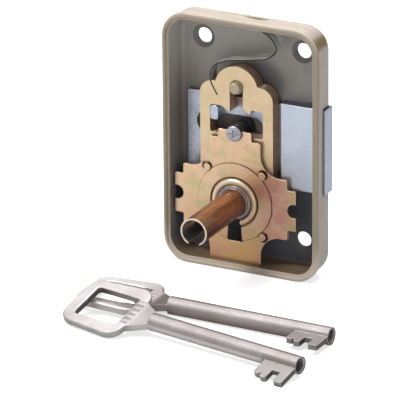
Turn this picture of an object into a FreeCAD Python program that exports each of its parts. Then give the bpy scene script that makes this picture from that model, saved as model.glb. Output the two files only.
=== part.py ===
import FreeCAD
import Part
import math
import os

# Rim lever lock with its cover off, and its two keys, in millimetres.
# +X is the way the bolt is thrown, +Y points into the door, +Z is up.
# The origin is the centre of the four fixing holes on the back face of the case.

# Case: a shallow tray, open to the front (-Y)
case_width = 61.0
case_height = 94.0
case_depth = 13.1
case_corner = 9.5
case_wall = 2.5
floor_thick = 2.0
back_round = 4.2
floor_round = 1.5
rim_step_depth = 0.6
rim_lip = 1.3
lip_round = 0.7
band_depth = 2.4
band_proud = 0.6
press_mark_x = 3.0
press_mark_width = 11.0
press_mark_deep = 0.7
press_mark_front_y = -9.2
press_mark_back_y = -4.8

# Fixing holes, countersunk from inside
hole_spacing_x = 38.8
hole_spacing_z = 70.7
hole_radius = 2.85
sink_radius = 4.4
sink_depth = 0.75

# Lever pack
lever_count = 5
lever_thick = 0.92
lever_pitch = 1.0
lever_x = -3.4
lever_half_width = 14.25
lever_shoulder_z = 21.9
lever_shoulder_round = 5.0
dome_z = 20.0
dome_radius = 8.4
leg_width = 3.75
leg_end_z = -31.0
leg_end_round = 1.2
window_half_width = 10.35
window_floor_z = 2.8
pocket_top_z = 13.0
tongue_depth = 1.8
left_pocket_width = 4.6
left_tip_width = 0.45
right_pocket_width = 4.4
right_tip_width = 0.7
belly_height = 10.2
belly_step = 0.35
belly_half_width = 5.0
belly_proud = 2.6
belly_slope = 2.0
belly_corner = 1.5
fork_corner = 2.0
lever_lift = 4.5

# Bolt
bolt_travel = 9.0
bolt_top_z = 17.1
bolt_bottom_z = -14.5
bolt_left_x = 13.5
bolt_proud = 0.3
bolt_front_gap = 5.2
tail_thick = 1.5
tail_left_x = -25.1
tail_top_z = 15.3
tail_lap = 8.5
tail_slot_spare_left = 4.9
tail_slot_spare_right = 4.2
talon_width = 8.0
talon_depth = 5.0
talon_slope = 1.0
bolt_chamfer = 0.2
tail_corner = 1.0
stump_width = 3.0
stump_height = 5.2
stump_corner = 0.9
stump_clearance = 0.25
stump_pin_radius = 1.2
stump_pin_drop = 1.0
bolt_rivet_radius = 1.5
bolt_rivet_x = 18.0
bolt_rivet_zs = (10.5, -8.0)
bolt_rivet_depth = 3.4

# Posts on the floor of the case
pillar_z = 4.1
pillar_radius = 3.0
pillar_base_radius = 4.2
pillar_neck_radius = 2.5
stud_z = 20.6
stud_radius = 2.42
stud_proud = 0.3
stud_head_radius = 2.05
stud_head_proud = 1.8
pin_radius = 2.2

# Keyhole plate
hub_z = -21.8
plate_thick = 1.2
plate_gap = 0.2
side_lobe_reach = 23.8
side_shoulder_reach = 20.4
side_half_height = 11.3
side_tooth_half = 7.5
top_lobe_reach = 26.7
top_shoulder_reach = 23.4
top_half_width = 10.0
top_tooth_half = 6.5
lobe_blend = 7.6
lobe_corner = 0.6
notch_radius = 2.6
notch_inset = 0.8
stake_lean = 47.0
stake_wall = 0.2
stake_hole_radius = 1.9
stake_radius = 1.45
stake_shift = 0.4
stake_proud = 0.3
punch_radius = 0.55
punch_shift = 1.1
punch_deep = 0.6
key_slot_top_width = 4.0
key_slot_bottom_width = 6.1
key_slot_reach = 15.0

# Hub collar in the plate
collar_disc_radius = 14.5
collar_disc_thick = 0.5
collar_spigot_radius = 9.9
groove_outer_radius = 9.5
groove_inner_radius = 8.9
groove_depth = 1.0
collar_dome_rise = 0.85
pocket_radius = 6.45
pocket_wall = 0.6
collar_floor_thick = 0.6

# Sprung key tube
tube_radius = 5.1
tube_wall = 0.6
tube_proud = 32.5
tube_slot_width = 4.3
tube_flange_radius = 6.2
tube_flange_thick = 0.5
tube_press = 2.0
ring_radius = 6.2
ring_thick = 0.55
ring_proud = 0.75
washer_count = 5
washer_radius = 6.3
washer_thick = 0.3
washer_spare = 0.35

# Plate screw
screw_head_radius = 3.0
screw_head_height = 1.2
screw_shank_radius = 1.5
screw_shank_length = 6.0
screw_slot_width = 0.6
screw_slot_depth = 0.45

# Lever springs: flat strips, one for each lever
strip_thick = 0.4
strip_width = 0.8
strip_run_in_slit = (
    (-10.8, 16.8, 0.0),
    (-13.2, 20.8, 3.0),
    (-14.0, 25.3, 3.5),
)
strip_run_above = (
    (-8.5, 0.045, 0.37),
    (3.4, 0.145, 0.75),
    (10.1, 0.285, 0.20),
    (12.1, 0.510, 0.14),
)
strip_end_x = 4.6
strip_end_gap = 0.3
slit_clearance = 0.09

# Keys
bow_length = 26.0
bow_half_width = 13.5
bow_end_half_width = 11.4
bow_thick = 2.6
bow_corner = 5.5
bow_edge_round = 0.7
window_near = 3.2
window_far = 21.4
window_half = 7.5
window_corner = 1.2
neck_width = 6.0
neck_length = 7.0
neck_inset = 0.05
neck_flare = 11.0
shank_radius = 3.2
shank_bore_radius = 2.3
shank_bore_depth = 16.0
shank_length = 69.3
shank_mouth_chamfer = 0.45
bit_thick = 2.0
bit_tip_gap = 0.1
bit_steps = (
    (2.7, 10.1, 0.9),
    (0.4, 9.0, 0.0),
    (2.6, 11.2, 0.9),
    (3.4, 6.7, 0.3),
    (3.4, 11.6, 0.5),
)
near_neck = (-8.5, -76.4)
near_yaw = -9.86
far_neck = (-12.0, -57.5)
far_yaw = -0.8
key_gap = 0.3

# Clearances
slide_gap = 0.1
turn_gap = 0.08
bolt_slot_gap = 0.5
bolt_slot_front_gap = 0.1
cut_spare = 1.0
full_round = 0.999

# Derived levels, measured along Y from the back face
rim_y = -case_depth
floor_y = -floor_thick
base_z = -case_height / 2
tail_back_y = floor_y - slide_gap
tail_front_y = tail_back_y - tail_thick
levers_back_y = tail_front_y - slide_gap - turn_gap
levers_front_y = levers_back_y - lever_thick - (lever_count - 1) * lever_pitch
plate_back_y = levers_front_y - plate_gap
plate_front_y = plate_back_y - plate_thick
bolt_front_y = rim_y + bolt_front_gap
collar_front_y = plate_front_y - collar_disc_thick
ring_back_y = collar_front_y - ring_proud
pocket_floor_y = ring_back_y + washer_count * washer_thick + tube_press + washer_spare
collar_back_y = pocket_floor_y + collar_floor_thick
ring_front_y = ring_back_y - ring_thick
tube_front_y = plate_front_y - tube_proud
tube_back_y = collar_back_y + slide_gap + tube_flange_thick
bit_reach = max(reach for width, reach, corner in bit_steps)
bit_width = sum(width for width, reach, corner in bit_steps)
bow_slope = (bow_half_width - bow_end_half_width) / bow_length

# The bolt's stump stands in the upper left corner of the levers' windows
stump_left_x = lever_x - window_half_width + stump_clearance
stump_top_z = pocket_top_z - stump_clearance
stump_pin_x = stump_left_x + stump_width / 2
stump_pin_z = stump_top_z - stump_pin_radius - stump_pin_drop

DEPTH = FreeCAD.Vector(0, 1, 0)


# Shape helpers

def rounded_edges(points, y):
    """Edges of a closed outline of (x, z, corner radius) points in the plane at y."""
    starts = []
    ends = []
    arcs = []
    for index, (x, z, radius) in enumerate(points):
        corner = FreeCAD.Vector(x, y, z)
        before = points[index - 1]
        after = points[(index + 1) % len(points)]
        back = (FreeCAD.Vector(before[0], y, before[1]) - corner).normalize()
        ahead = (FreeCAD.Vector(after[0], y, after[1]) - corner).normalize()
        if radius == 0:
            starts.append(corner)
            ends.append(corner)
            arcs.append(None)
            continue
        half = back.getAngle(ahead) / 2
        run = radius / math.tan(half)
        bisector = (back + ahead).normalize()
        middle = corner + bisector * (radius / math.sin(half) - radius)
        starts.append(corner + back * run)
        ends.append(corner + ahead * run)
        arcs.append(middle)
    edges = []
    for index in range(len(points)):
        if arcs[index] is not None:
            edges.append(Part.Arc(starts[index], arcs[index], ends[index]).toShape())
        following = starts[(index + 1) % len(points)]
        if (following - ends[index]).Length > 1e-6:
            edges.append(Part.makeLine(ends[index], following))
    return edges


def plate(points, front, back):
    """Flat plate with a rounded outline, from y = front to y = back."""
    wire = Part.Wire(rounded_edges(points, front))
    return Part.Face(wire).extrude(DEPTH * (back - front))


def rounded_box(half_x, half_z, radius, front, back):
    corners = ((-half_x, -half_z), (-half_x, half_z), (half_x, half_z), (half_x, -half_z))
    return plate([(x, z, radius) for x, z in corners], front, back)


def disc(x, z, radius, front, back):
    return Part.makeCylinder(radius, back - front, FreeCAD.Vector(x, front, z), DEPTH)


def block(x0, x1, front, back, z0, z1):
    return Part.makeBox(x1 - x0, back - front, z1 - z0, FreeCAD.Vector(x0, front, z0))


def turned(profile, x, z):
    """Solid turned about the line along Y through (x, z) from (radius, y) points."""
    points = [FreeCAD.Vector(x + radius, y, z) for radius, y in profile]
    wire = Part.makePolygon(points + points[:1])
    return Part.Face(wire).revolve(FreeCAD.Vector(x, 0, z), DEPTH, 360)


def edges_at_depth(shape, y):
    """Edges that lie wholly in the plane at y."""
    found = []
    for edge in shape.Edges:
        box = edge.BoundBox
        if abs(box.YMin - y) < 1e-4 and abs(box.YMax - y) < 1e-4:
            found.append(edge)
    return found


def offset_run(run, distance):
    """Points beside an open run, each radius grown or shrunk to stay concentric."""
    beside = []
    for index, (x, z, radius) in enumerate(run):
        here = FreeCAD.Vector(x, 0, z)
        normals = []
        turn = 0
        if index > 0:
            back = here - FreeCAD.Vector(run[index - 1][0], 0, run[index - 1][1])
            back.normalize()
            normals.append(FreeCAD.Vector(-back.z, 0, back.x))
        if index < len(run) - 1:
            ahead = FreeCAD.Vector(run[index + 1][0], 0, run[index + 1][1]) - here
            ahead.normalize()
            normals.append(FreeCAD.Vector(-ahead.z, 0, ahead.x))
        if len(normals) == 1:
            shift = normals[0] * distance
        else:
            both = (normals[0] + normals[1]).normalize()
            shift = both * (distance / both.dot(normals[0]))
            turn = math.copysign(1, back.x * ahead.z - back.z * ahead.x)
        grown = radius - turn * distance if radius else 0.0
        place = here + shift
        beside.append((place.x, place.z, grown))
    return beside


def ribbon(run, thick, front, back):
    """Strip of even thickness that follows an open run of (x, z, radius) points."""
    one_side = offset_run(run, thick / 2)
    other_side = offset_run(run, -thick / 2)
    return plate(one_side + other_side[::-1], front, back)


def lever_front(index):
    return levers_front_y + index * lever_pitch


# Case and the posts fixed to it

def make_press_mark(wall_z):
    """Shallow dish pressed into the outside of the case's top wall."""
    half = press_mark_width / 2
    radius = (half * half + press_mark_deep * press_mark_deep) / (2 * press_mark_deep)
    return disc(press_mark_x, wall_z + radius - press_mark_deep, radius, press_mark_front_y, press_mark_back_y)


def make_case():
    half_x = case_width / 2
    half_z = case_height / 2
    band_back_y = rim_y + band_depth
    band = rounded_box(half_x, half_z, case_corner, rim_y, band_back_y)
    band = band.makeFillet(lip_round, edges_at_depth(band, rim_y))
    tray = rounded_box(half_x - band_proud, half_z - band_proud, case_corner - band_proud, band_back_y, 0)
    tray = tray.makeFillet(back_round, edges_at_depth(tray, 0))
    shell = band.fuse(tray)
    hollow = rounded_box(half_x - case_wall, half_z - case_wall, case_corner - case_wall, rim_y, floor_y)
    hollow = hollow.makeFillet(floor_round, edges_at_depth(hollow, floor_y))
    shell = shell.cut(hollow)
    shell = shell.cut(rounded_box(half_x - rim_lip, half_z - rim_lip, case_corner - rim_lip,
                                  rim_y, rim_y + rim_step_depth))
    shell = shell.cut(make_press_mark(half_z - band_proud))
    for side_x in (-1, 1):
        for side_z in (-1, 1):
            x = side_x * hole_spacing_x / 2
            z = side_z * hole_spacing_z / 2
            shell = shell.cut(disc(x, z, hole_radius, floor_y, 0))
            sink = Part.makeCone(sink_radius, hole_radius, sink_depth, FreeCAD.Vector(x, floor_y, z), DEPTH)
            shell = shell.cut(sink)
    bolt_slot = block(half_x - case_wall - floor_round, half_x + cut_spare, bolt_front_y - bolt_slot_front_gap, floor_y,
                      bolt_bottom_z - bolt_slot_gap, bolt_top_z + bolt_slot_gap)
    return shell.cut(bolt_slot)


def make_pillar():
    base = disc(lever_x, pillar_z, pillar_base_radius, tail_front_y + slide_gap, floor_y)
    post = disc(lever_x, pillar_z, pillar_radius, plate_back_y, floor_y)
    neck = disc(lever_x, pillar_z, pillar_neck_radius, plate_front_y + slide_gap, floor_y)
    tapped = disc(lever_x, pillar_z, screw_shank_radius, plate_front_y, floor_y - cut_spare)
    return base.fuse([post, neck]).cut(tapped).removeSplitter()


def make_guide_stud():
    head_front = levers_front_y - stud_head_proud
    stud = disc(lever_x, stud_z, stud_radius, levers_front_y - stud_proud, floor_y)
    stud = stud.fuse(disc(lever_x, stud_z, stud_head_radius, head_front, floor_y)).removeSplitter()
    return stud.makeChamfer(stud_proud, edges_at_depth(stud, head_front))


def make_key_pin():
    pin_front = tube_back_y + slide_gap
    pin = disc(lever_x, hub_z, pin_radius, pin_front, floor_y)
    return pin.makeChamfer(pin_radius / 4, edges_at_depth(pin, pin_front))


# Keyhole plate, hub collar and what holds them

def lobe_points():
    """Outline of the plate without its notches, as (x, z, corner radius) from the hub."""
    bottom_reach = hub_z - (base_z + case_wall) - slide_gap
    right = [
        (top_tooth_half, top_lobe_reach, lobe_corner),
        (top_tooth_half, top_shoulder_reach, lobe_corner),
        (top_half_width, top_shoulder_reach, lobe_corner),
        (top_half_width, side_half_height, lobe_blend),
        (side_shoulder_reach, side_half_height, lobe_corner),
        (side_shoulder_reach, side_tooth_half, lobe_corner),
        (side_lobe_reach, side_tooth_half, lobe_corner),
        (side_lobe_reach, -side_tooth_half, lobe_corner),
        (side_shoulder_reach, -side_tooth_half, lobe_corner),
        (side_shoulder_reach, -side_half_height, lobe_corner),
        (top_half_width, -side_half_height, lobe_blend),
        (top_half_width, -bottom_reach, lobe_corner),
    ]
    left = [(-x, z, radius) for x, z, radius in reversed(right)]
    return right + left


def key_slot(front, back):
    """Tapered slot under the hub that the key's bit goes through."""
    top = key_slot_top_width / 2
    bottom = key_slot_bottom_width / 2
    low = hub_z - key_slot_reach
    points = [(lever_x - top, hub_z, 0), (lever_x + top, hub_z, 0),
              (lever_x + bottom, low, 0), (lever_x - bottom, low, 0)]
    return plate(points, front, back)


def stake_places():
    """Centres of the four stakes from the hub, each a thin wall away from a round bay of the plate."""
    reach = lobe_blend + stake_wall + stake_hole_radius
    across = top_half_width + lobe_blend - reach * math.cos(math.radians(stake_lean))
    up = side_half_height + lobe_blend - reach * math.sin(math.radians(stake_lean))
    return [(side_x * across, side_z * up) for side_x in (-1, 1) for side_z in (-1, 1)]


def make_keyhole_plate():
    points = [(lever_x + x, hub_z + z, radius) for x, z, radius in lobe_points()]
    star = plate(points, plate_front_y, plate_back_y)
    notches = (
        (lever_x - side_lobe_reach + notch_inset, hub_z),
        (lever_x + side_lobe_reach - notch_inset, hub_z),
        (lever_x, pillar_z),
    )
    for x, z in notches:
        star = star.cut(disc(x, z, notch_radius, plate_front_y, plate_back_y))
    for x, z in stake_places():
        star = star.cut(disc(lever_x + x, hub_z + z, stake_hole_radius, plate_front_y, plate_back_y))
    star = star.cut(disc(lever_x, hub_z, collar_spigot_radius, plate_front_y, plate_back_y))
    return star.cut(key_slot(plate_front_y, plate_back_y))


def make_hub_collar():
    """Dished collar: a flat disc on the plate, a groove, a domed lip and a pocket for the spring."""
    groove_y = collar_front_y + groove_depth
    dome_y = collar_front_y - collar_dome_rise
    dome_middle = (groove_inner_radius + pocket_radius) / 2
    dome_half = (groove_inner_radius - pocket_radius) / 2
    shoulder_y = dome_y + dome_half
    dome = []
    dome_steps = 8
    for step in range(dome_steps + 1):
        angle = math.pi * step / dome_steps
        dome.append((dome_middle + dome_half * math.cos(angle), shoulder_y - dome_half * math.sin(angle)))
    profile = [
        (tube_radius + turn_gap, collar_back_y),
        (pocket_radius + pocket_wall, collar_back_y),
        (pocket_radius + pocket_wall, plate_back_y),
        (collar_spigot_radius, plate_back_y),
        (collar_spigot_radius, plate_front_y),
        (collar_disc_radius, plate_front_y),
        (collar_disc_radius, collar_front_y),
        (groove_outer_radius, collar_front_y),
        (groove_outer_radius, groove_y),
        (groove_inner_radius, groove_y),
    ] + dome + [
        (pocket_radius, pocket_floor_y),
        (tube_radius + turn_gap, pocket_floor_y),
    ]
    collar = turned(profile, lever_x, hub_z)
    for x, z in stake_places():
        collar = collar.cut(disc(lever_x + x, hub_z + z, stake_hole_radius, collar_front_y, plate_front_y))
    return collar.cut(key_slot(dome_y, collar_back_y))


def make_hub_stakes():
    stakes = []
    for x, z in stake_places():
        reach = math.hypot(x, z)
        inward = 1 - stake_shift / reach
        stake_x = lever_x + x * inward
        stake_z = hub_z + z * inward
        front = collar_front_y - stake_proud
        stake = disc(stake_x, stake_z, stake_radius, front, plate_back_y)
        stakes.append(stake.cut(disc(stake_x - punch_shift, stake_z, punch_radius, front, front + punch_deep)))
    return Part.makeCompound(stakes)


def make_plate_screw():
    head_front = plate_front_y - screw_head_height
    head = disc(lever_x, pillar_z, screw_head_radius, head_front, plate_front_y)
    head = head.makeFillet(screw_head_height / 2, edges_at_depth(head, head_front))
    shank = disc(lever_x, pillar_z, screw_shank_radius, plate_front_y, plate_front_y + screw_shank_length)
    half = screw_slot_width / 2
    slot_back = head_front + screw_slot_depth
    across = block(lever_x - screw_head_radius, lever_x + screw_head_radius, head_front, slot_back,
                   pillar_z - half, pillar_z + half)
    upright = block(lever_x - half, lever_x + half, head_front, slot_back,
                    pillar_z - screw_head_radius / 2, pillar_z + screw_head_radius / 2)
    return head.fuse(shank).cut(across.fuse(upright)).removeSplitter()


# Bolt

def bolt_rivet_places():
    return [(bolt_rivet_x, z) for z in bolt_rivet_zs]


def make_bolt_tail():
    right_x = bolt_left_x + tail_lap
    tail = plate([
        (tail_left_x, bolt_bottom_z, tail_corner),
        (tail_left_x, tail_top_z, tail_corner),
        (right_x, tail_top_z, 0),
        (right_x, bolt_bottom_z, 0),
    ], tail_front_y, tail_back_y)
    slot_radius = pillar_base_radius + turn_gap
    slot_left = lever_x - pillar_base_radius - bolt_travel - tail_slot_spare_left
    slot_right = lever_x + pillar_base_radius + tail_slot_spare_right
    slot_half = (slot_right - slot_left) / 2
    slot_middle = (slot_right + slot_left) / 2
    slot = rounded_box(slot_half, slot_radius, slot_radius * full_round, tail_front_y, tail_back_y)
    slot.translate(FreeCAD.Vector(slot_middle, 0, pillar_z))
    tail = tail.cut(slot)
    talon = plate([
        (lever_x - talon_width / 2, bolt_bottom_z - cut_spare, 0),
        (lever_x - talon_width / 2 + talon_slope, bolt_bottom_z + talon_depth, tail_corner),
        (lever_x + talon_width / 2 - talon_slope, bolt_bottom_z + talon_depth, tail_corner),
        (lever_x + talon_width / 2, bolt_bottom_z - cut_spare, 0),
    ], tail_front_y, tail_back_y)
    tail = tail.cut(talon)
    tail = tail.cut(disc(stump_pin_x, stump_pin_z, stump_pin_radius, tail_front_y, tail_back_y))
    for x, z in bolt_rivet_places():
        tail = tail.cut(disc(x, z, bolt_rivet_radius, tail_front_y, tail_back_y))
    return tail


def make_bolt_head():
    head_right = case_width / 2 + bolt_proud
    head = block(bolt_left_x, head_right, bolt_front_y, tail_back_y, bolt_bottom_z, bolt_top_z)
    head = head.makeChamfer(bolt_chamfer, edges_at_depth(head, bolt_front_y))
    lap = block(bolt_left_x, bolt_left_x + tail_lap, tail_front_y, tail_back_y, bolt_bottom_z, bolt_top_z)
    head = head.cut(lap)
    for x, z in bolt_rivet_places():
        head = head.cut(disc(x, z, bolt_rivet_radius, tail_back_y - bolt_rivet_depth, tail_back_y))
    return head


def make_bolt_rivets():
    rivets = []
    for x, z in bolt_rivet_places():
        rivets.append(disc(x, z, bolt_rivet_radius, tail_back_y - bolt_rivet_depth, tail_back_y))
    return Part.makeCompound(rivets)


def make_bolt_stump():
    right_x = stump_left_x + stump_width
    bottom_z = stump_top_z - stump_height
    post = plate([
        (stump_left_x, bottom_z, stump_corner),
        (stump_left_x, stump_top_z, stump_corner),
        (right_x, stump_top_z, stump_corner),
        (right_x, bottom_z, stump_corner),
    ], levers_front_y - stud_proud, tail_front_y)
    pin = disc(stump_pin_x, stump_pin_z, stump_pin_radius, tail_front_y, tail_back_y)
    return post.fuse(pin)


# Levers and their springs

def lever_outline():
    left = lever_x - lever_half_width
    right = lever_x + lever_half_width
    return [
        (left, leg_end_z, leg_end_round),
        (left, lever_shoulder_z, lever_shoulder_round),
        (right, lever_shoulder_z, lever_shoulder_round),
        (right, leg_end_z, leg_end_round),
    ]


def lever_window():
    """Window with its two pockets, the tongues between them and the slot above for the guide stud."""
    guide = stud_radius + slit_clearance + turn_gap
    guide_top = stud_z + guide + slide_gap
    tip_z = pocket_top_z - tongue_depth
    left = lever_x - window_half_width
    right = lever_x + window_half_width
    return [
        (left, window_floor_z, 0.8),
        (left, pocket_top_z, 1.1),
        (left + left_pocket_width, pocket_top_z, 0.9),
        (lever_x - guide - left_tip_width, tip_z, 0.15),
        (lever_x - guide, tip_z, 0.15),
        (lever_x - guide, guide_top, guide * full_round),
        (lever_x + guide, guide_top, guide * full_round),
        (lever_x + guide, pocket_top_z, 0.4),
        (right - right_pocket_width - right_tip_width, tip_z, 0.3),
        (right - right_pocket_width, pocket_top_z, 0.5),
        (right, pocket_top_z, 1.1),
        (right, window_floor_z, 0.8),
    ]


def lever_pillar_slot():
    """Slot below the window that lets the lever rise on the pillar."""
    half = pillar_radius + slide_gap
    low = pillar_z - lever_lift - pillar_radius - slide_gap
    return [
        (lever_x - half, window_floor_z + cut_spare, 0),
        (lever_x - half, low, half * full_round),
        (lever_x + half, low, half * full_round),
        (lever_x + half, window_floor_z + cut_spare, 0),
    ]


def lever_fork(index):
    """Open fork under the web, with a belly that the key's step lifts."""
    half = lever_half_width - leg_width
    belly_z = hub_z + belly_height + index * belly_step
    web_z = belly_z + belly_proud
    return [
        (lever_x - half, leg_end_z - cut_spare, 0),
        (lever_x - half, web_z, fork_corner),
        (lever_x - belly_half_width - belly_slope, web_z, tail_corner),
        (lever_x - belly_half_width, belly_z, belly_corner),
        (lever_x + belly_half_width, belly_z, belly_corner),
        (lever_x + belly_half_width + belly_slope, web_z, tail_corner),
        (lever_x + half, web_z, fork_corner),
        (lever_x + half, leg_end_z - cut_spare, 0),
    ]


def strip_path():
    """From the slit in the lever, over its dome, and back under the case's top wall."""
    dome_top_z = dome_z + dome_radius
    room = case_height / 2 - case_wall - dome_top_z
    above = tuple((x, dome_top_z + share * room, bend * room) for x, share, bend in strip_run_above)
    end = (strip_end_x, case_height / 2 - case_wall - strip_end_gap, 0.0)
    return strip_run_in_slit + above + (end,)


def make_lever(index):
    front = lever_front(index)
    back = front + lever_thick
    body = plate(lever_outline(), front, back)
    body = body.fuse(disc(lever_x, dome_z, dome_radius, front, back))
    body = body.cut(plate(lever_window(), front, back))
    body = body.cut(plate(lever_pillar_slot(), front, back))
    body = body.cut(plate(lever_fork(index), front, back))
    body = body.cut(ribbon(strip_path(), strip_thick + 2 * slit_clearance, front, back))
    return body.removeSplitter()


def make_lever_spring(index):
    front = lever_front(index) + (lever_thick - strip_width) / 2
    return ribbon(strip_path(), strip_thick, front, front + strip_width)


# Key tube

def tube_opening(front, back, radius):
    """Slot along the underside of the tube and of all that sits on it."""
    half = tube_slot_width / 2
    return block(lever_x - half, lever_x + half, front, back, hub_z - radius - 1, hub_z)


def make_key_tube():
    tube = disc(lever_x, hub_z, tube_radius, tube_front_y, tube_back_y)
    flange = disc(lever_x, hub_z, tube_flange_radius, tube_back_y - tube_flange_thick, tube_back_y)
    bore = disc(lever_x, hub_z, tube_radius - tube_wall, tube_front_y, tube_back_y)
    tube = tube.fuse(flange).cut(bore)
    return tube.cut(tube_opening(tube_front_y, tube_back_y, tube_flange_radius)).removeSplitter()


def open_ring(inner, outer, front, back):
    ring = disc(lever_x, hub_z, outer, front, back).cut(disc(lever_x, hub_z, inner, front, back))
    return ring.cut(tube_opening(front, back, outer))


def make_tube_ring():
    return open_ring(tube_radius, ring_radius, ring_front_y, ring_back_y)


def make_tube_spring():
    """Open spring washers stacked between the pocket's floor and the ring on the tube."""
    stack = pocket_floor_y - ring_back_y
    pitch = (stack - washer_thick) / (washer_count - 1)
    washers = []
    for index in range(washer_count):
        front = ring_back_y + index * pitch
        washers.append(open_ring(tube_radius + 2 * turn_gap, washer_radius, front, front + washer_thick))
    return Part.makeCompound(washers)


# Keys, drawn lying along X with the bow on the left, then laid on the floor

def key_plate(points, half_thick):
    """Flat piece in the key's own plane, X along the shank and Y across it."""
    upright = plate(points, -half_thick, half_thick)
    upright.rotate(FreeCAD.Vector(0, 0, 0), FreeCAD.Vector(1, 0, 0), -90)
    return upright


def make_key_shape():
    half = bow_thick / 2
    bow = key_plate([
        (-bow_length, -bow_end_half_width, bow_corner),
        (-bow_length, bow_end_half_width, bow_corner),
        (0, bow_half_width, bow_corner),
        (0, -bow_half_width, bow_corner),
    ], half)
    window = key_plate([
        (-window_far, -window_half, window_corner),
        (-window_far, window_half, window_corner),
        (-window_near, window_half, window_corner),
        (-window_near, -window_half, window_corner),
    ], half)
    bow = bow.cut(window)
    rims = []
    for edge in bow.Edges:
        box = edge.BoundBox
        if box.ZMax - box.ZMin < 1e-4:
            rims.append(edge)
    bow = bow.makeFillet(bow_edge_round, rims)
    neck = key_plate([
        (-neck_length, -neck_flare, 0),
        (-neck_length, neck_flare, 0),
        (neck_length, neck_width / 2, 0),
        (neck_length + cut_spare, neck_width / 2, 0),
        (neck_length + cut_spare, -neck_width / 2, 0),
        (neck_length, -neck_width / 2, 0),
    ], half - neck_inset)
    neck = neck.cut(window)
    x_axis = FreeCAD.Vector(1, 0, 0)
    shank = Part.makeCylinder(shank_radius, shank_length - neck_length, FreeCAD.Vector(neck_length, 0, 0), x_axis)
    key = bow.fuse([neck, shank])
    bore_start = FreeCAD.Vector(shank_length - shank_bore_depth, 0, 0)
    points = []
    step_x = shank_length - bit_tip_gap - bit_width
    points.append((step_x, 0, 0))
    for width, reach, corner in bit_steps:
        points.append((step_x, -reach, corner))
        step_x = step_x + width
        points.append((step_x, -reach, corner))
    points.append((step_x, 0, 0))
    key = key.fuse(key_plate(points, bit_thick / 2))
    key = key.cut(Part.makeCylinder(shank_bore_radius, shank_bore_depth, bore_start, x_axis))
    mouth = Part.makeCone(shank_bore_radius, shank_bore_radius + shank_mouth_chamfer, shank_mouth_chamfer,
                          FreeCAD.Vector(shank_length - shank_mouth_chamfer, 0, 0), x_axis)
    return key.cut(mouth).removeSplitter()


def turn_of(yaw, pitch, roll):
    about_z = FreeCAD.Rotation(FreeCAD.Vector(0, 0, 1), yaw)
    about_y = FreeCAD.Rotation(FreeCAD.Vector(0, 1, 0), pitch)
    about_x = FreeCAD.Rotation(FreeCAD.Vector(1, 0, 0), roll)
    return about_z.multiply(about_y).multiply(about_x)


def make_far_key():
    key = make_key_shape()
    place = FreeCAD.Vector(far_neck[0], far_neck[1], base_z + shank_radius)
    key.Placement = FreeCAD.Placement(place, turn_of(far_yaw, 0, 0))
    return key


def make_near_key():
    """The near key leans on the corner of the far key's bow and stands on its own bow and bit."""
    yaw = math.radians(near_yaw)
    corner_x = far_neck[0] - bow_length + bow_corner - near_neck[0]
    corner_half_width = bow_end_half_width + bow_slope * bow_corner
    corner_y = far_neck[1] - corner_half_width + bow_corner * math.hypot(1, bow_slope) - near_neck[1]
    corner_across = corner_y * math.cos(yaw) - corner_x * math.sin(yaw) - bow_corner
    far_top = shank_radius + bow_thick / 2
    roll = math.asin((far_top + key_gap) / (bow_half_width + corner_across))
    neck_height = bow_half_width * math.sin(roll) + bow_thick / 2 * math.cos(roll)
    tip_height = max(shank_radius, bit_reach * math.sin(roll) + bit_thick / 2 * math.cos(roll))
    pitch = math.asin((neck_height - tip_height) / shank_length)
    key = make_key_shape()
    place = FreeCAD.Vector(near_neck[0], near_neck[1], base_z + neck_height)
    key.Placement = FreeCAD.Placement(place, turn_of(near_yaw, math.degrees(pitch), math.degrees(roll)))
    return key


def make_all():
    pieces = {
        "case": make_case(),
        "pillar": make_pillar(),
        "guide_stud": make_guide_stud(),
        "key_pin": make_key_pin(),
        "keyhole_plate": make_keyhole_plate(),
        "hub_collar": make_hub_collar(),
        "hub_stakes": make_hub_stakes(),
        "plate_screw": make_plate_screw(),
        "bolt_tail": make_bolt_tail(),
        "bolt_head": make_bolt_head(),
        "bolt_rivets": make_bolt_rivets(),
        "bolt_stump": make_bolt_stump(),
        "key_tube": make_key_tube(),
        "tube_ring": make_tube_ring(),
        "tube_spring": make_tube_spring(),
        "far_key": make_far_key(),
        "near_key": make_near_key(),
    }
    for index in range(lever_count):
        pieces["lever_%d" % (index + 1)] = make_lever(index)
        pieces["lever_spring_%d" % (index + 1)] = make_lever_spring(index)
    return pieces


os.makedirs("parts", exist_ok=True)
for name, shape in make_all().items():
    shape.exportStep("parts/%s.step" % name)
    print(name, len(shape.Solids), "solids, valid", shape.isValid(), "volume", round(shape.Volume, 2))
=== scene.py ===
import bpy
import math
from mathutils import Matrix, Vector


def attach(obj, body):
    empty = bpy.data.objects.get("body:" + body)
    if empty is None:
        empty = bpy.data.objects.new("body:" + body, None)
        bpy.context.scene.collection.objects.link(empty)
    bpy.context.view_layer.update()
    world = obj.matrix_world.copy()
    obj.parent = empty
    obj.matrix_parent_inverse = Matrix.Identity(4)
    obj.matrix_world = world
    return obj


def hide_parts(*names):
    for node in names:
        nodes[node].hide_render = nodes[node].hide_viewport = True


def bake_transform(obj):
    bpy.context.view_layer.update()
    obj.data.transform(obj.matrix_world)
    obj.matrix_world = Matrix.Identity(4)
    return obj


print("rim lock: loading the frame")
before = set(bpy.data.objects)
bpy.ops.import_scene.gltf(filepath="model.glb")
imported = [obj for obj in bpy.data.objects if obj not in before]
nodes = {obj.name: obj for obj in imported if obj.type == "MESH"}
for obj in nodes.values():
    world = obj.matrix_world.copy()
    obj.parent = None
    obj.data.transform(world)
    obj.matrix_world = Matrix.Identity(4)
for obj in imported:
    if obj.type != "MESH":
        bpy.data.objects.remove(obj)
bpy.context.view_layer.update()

# Finishes are in metres and shapes in millimetres. A range in a finish is the start and the end of a
# soft step, followed by the amounts there where they aren't 0 and 1.

perMetre = 1000


# small helpers for shapes

def millimetres(*values):
    return tuple(value / perMetre for value in values)


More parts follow.
